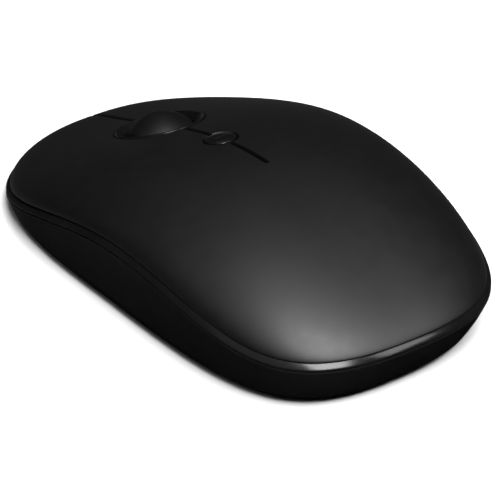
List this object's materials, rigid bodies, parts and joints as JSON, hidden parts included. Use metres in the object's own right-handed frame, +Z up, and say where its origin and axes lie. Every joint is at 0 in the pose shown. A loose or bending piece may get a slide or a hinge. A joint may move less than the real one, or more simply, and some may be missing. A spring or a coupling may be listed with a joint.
{
  "type": "computer mouse",
  "caption": "Slim cordless pointing device with flexing keys, a broad scroll roller in a round dished opening, a speed button, a glossy rim band and a tapered base.",
  "frame": {"origin": "on the desk, under the middle of the outline", "axes": "+Z up, +Y to the front (the key end), +X to the user's right"},
  "size_m": [0.0634, 0.1076, 0.0255],
  "materials": {
    "cover_satin": "satin",
    "trim_gloss": "polished",
    "shell_matte": "fine matte",
    "wheel_rubber": "smooth satin",
    "part_black": "moulded",
    "part_white": "moulded",
    "bright_steel": "bright",
    "board_green": "solder mask",
    "clear_lens": "clear",
    "lamp_red": "translucent",
    "cell_sleeve": "printed film without lettering",
    "foot_slide": "slick"
  },
  "bodies": {
    "casing": {"palm_cover": "cover_satin", "rim_trim": "trim_gloss", "lower_shell": "shell_matte", "wheel_bezel": "trim_gloss", "foot_front_left": "foot_slide", "foot_front_right": "foot_slide", "foot_rear_left": "foot_slide", "foot_rear_right": "foot_slide", "circuit_board": "board_green", "left_switch": "part_black", "right_switch": "part_black", "speed_switch": "part_black", "wheel_switch": "part_black", "wheel_encoder": "part_black", "sensor_chip": "part_black", "sensor_lens": "clear_lens", "sensor_lamp": "lamp_red", "control_chip": "part_black", "crystal": "bright_steel", "capacitor": "part_black", "battery_cell": "cell_sleeve", "battery_spring": "bright_steel", "battery_contact": "bright_steel", "power_switch": "part_black", "case_screw_left": "bright_steel", "case_screw_right": "bright_steel", "board_screw_left": "bright_steel", "board_screw_right": "bright_steel"},
    "left_key": {"left_key": "cover_satin"},
    "right_key": {"right_key": "cover_satin"},
    "left_plunger": {"left_plunger": "part_white"},
    "right_plunger": {"right_plunger": "part_white"},
    "wheel_carrier": {"wheel_carrier": "part_black"},
    "wheel": {"wheel_tyre": "wheel_rubber", "wheel_hub": "part_black", "wheel_axle": "bright_steel"},
    "wheel_plunger": {"wheel_plunger": "part_white"},
    "speed_button": {"speed_button": "trim_gloss"},
    "battery_door": {"battery_door": "shell_matte"},
    "power_slider": {"power_slider": "part_white"},
    "usb_receiver": {"receiver_body": "part_black", "receiver_plug": "bright_steel"},
    "speed_plunger": {"speed_plunger": "part_white"}
  },
  "joints": [
    {"name": "left_key_press", "type": "hinge", "parent": "casing", "child": "left_key", "pos_m": [0, -0.0095, 0.0245], "axis": [-1, 0, 0], "range_deg": [0, 0.4], "stiffness_Nm_per_rad": 2.5},
    {"name": "right_key_press", "type": "hinge", "parent": "casing", "child": "right_key", "pos_m": [0, -0.0095, 0.0245], "axis": [-1, 0, 0], "range_deg": [0, 0.4], "stiffness_Nm_per_rad": 2.5},
    {"name": "left_plunger_slide", "type": "slide", "parent": "casing", "child": "left_plunger", "axis": [0, 0, -1], "range_m": [0, 0.00021]},
    {"name": "right_plunger_slide", "type": "slide", "parent": "casing", "child": "right_plunger", "axis": [0, 0, -1], "range_m": [0, 0.00021]},
    {"name": "wheel_click", "type": "slide", "parent": "casing", "child": "wheel_carrier", "axis": [0, 0, -1], "range_m": [0, 0.0003], "stiffness_N_per_m": 2000},
    {"name": "wheel_spin", "type": "hinge", "parent": "wheel_carrier", "child": "wheel", "pos_m": [0, 0.026, 0.0109], "axis": [1, 0, 0], "continuous": true},
    {"name": "wheel_plunger_slide", "type": "slide", "parent": "casing", "child": "wheel_plunger", "axis": [0, 0, -1], "range_m": [0, 0.0003]},
    {"name": "speed_button_press", "type": "slide", "parent": "casing", "child": "speed_button", "axis": [0, 0, -1], "range_m": [0, 0.0002], "stiffness_N_per_m": 3000},
    {"name": "speed_plunger_slide", "type": "slide", "parent": "casing", "child": "speed_plunger", "axis": [0, 0, -1], "range_m": [0, 0.0002]},
    {"name": "battery_door_swing", "type": "hinge", "parent": "casing", "child": "battery_door", "pos_m": [0, -0.04535, 0.00135], "axis": [-1, 0, 0], "range_deg": [0, 60]},
    {"name": "power_slide", "type": "slide", "parent": "casing", "child": "power_slider", "axis": [0, 1, 0], "range_m": [0, 0.0032]},
    {"name": "receiver_lift_out", "type": "slide", "parent": "casing", "child": "usb_receiver", "axis": [0, 0, -1], "range_m": [0, 0.015]}
  ],
  "couplings": [
    {"joint": "left_plunger_slide", "follows": "left_key_press", "m_per_rad": 0.0295},
    {"joint": "right_plunger_slide", "follows": "right_key_press", "m_per_rad": 0.0295},
    {"joint": "wheel_plunger_slide", "follows": "wheel_click", "ratio": 1},
    {"joint": "speed_plunger_slide", "follows": "speed_button_press", "ratio": 1}
  ]
}
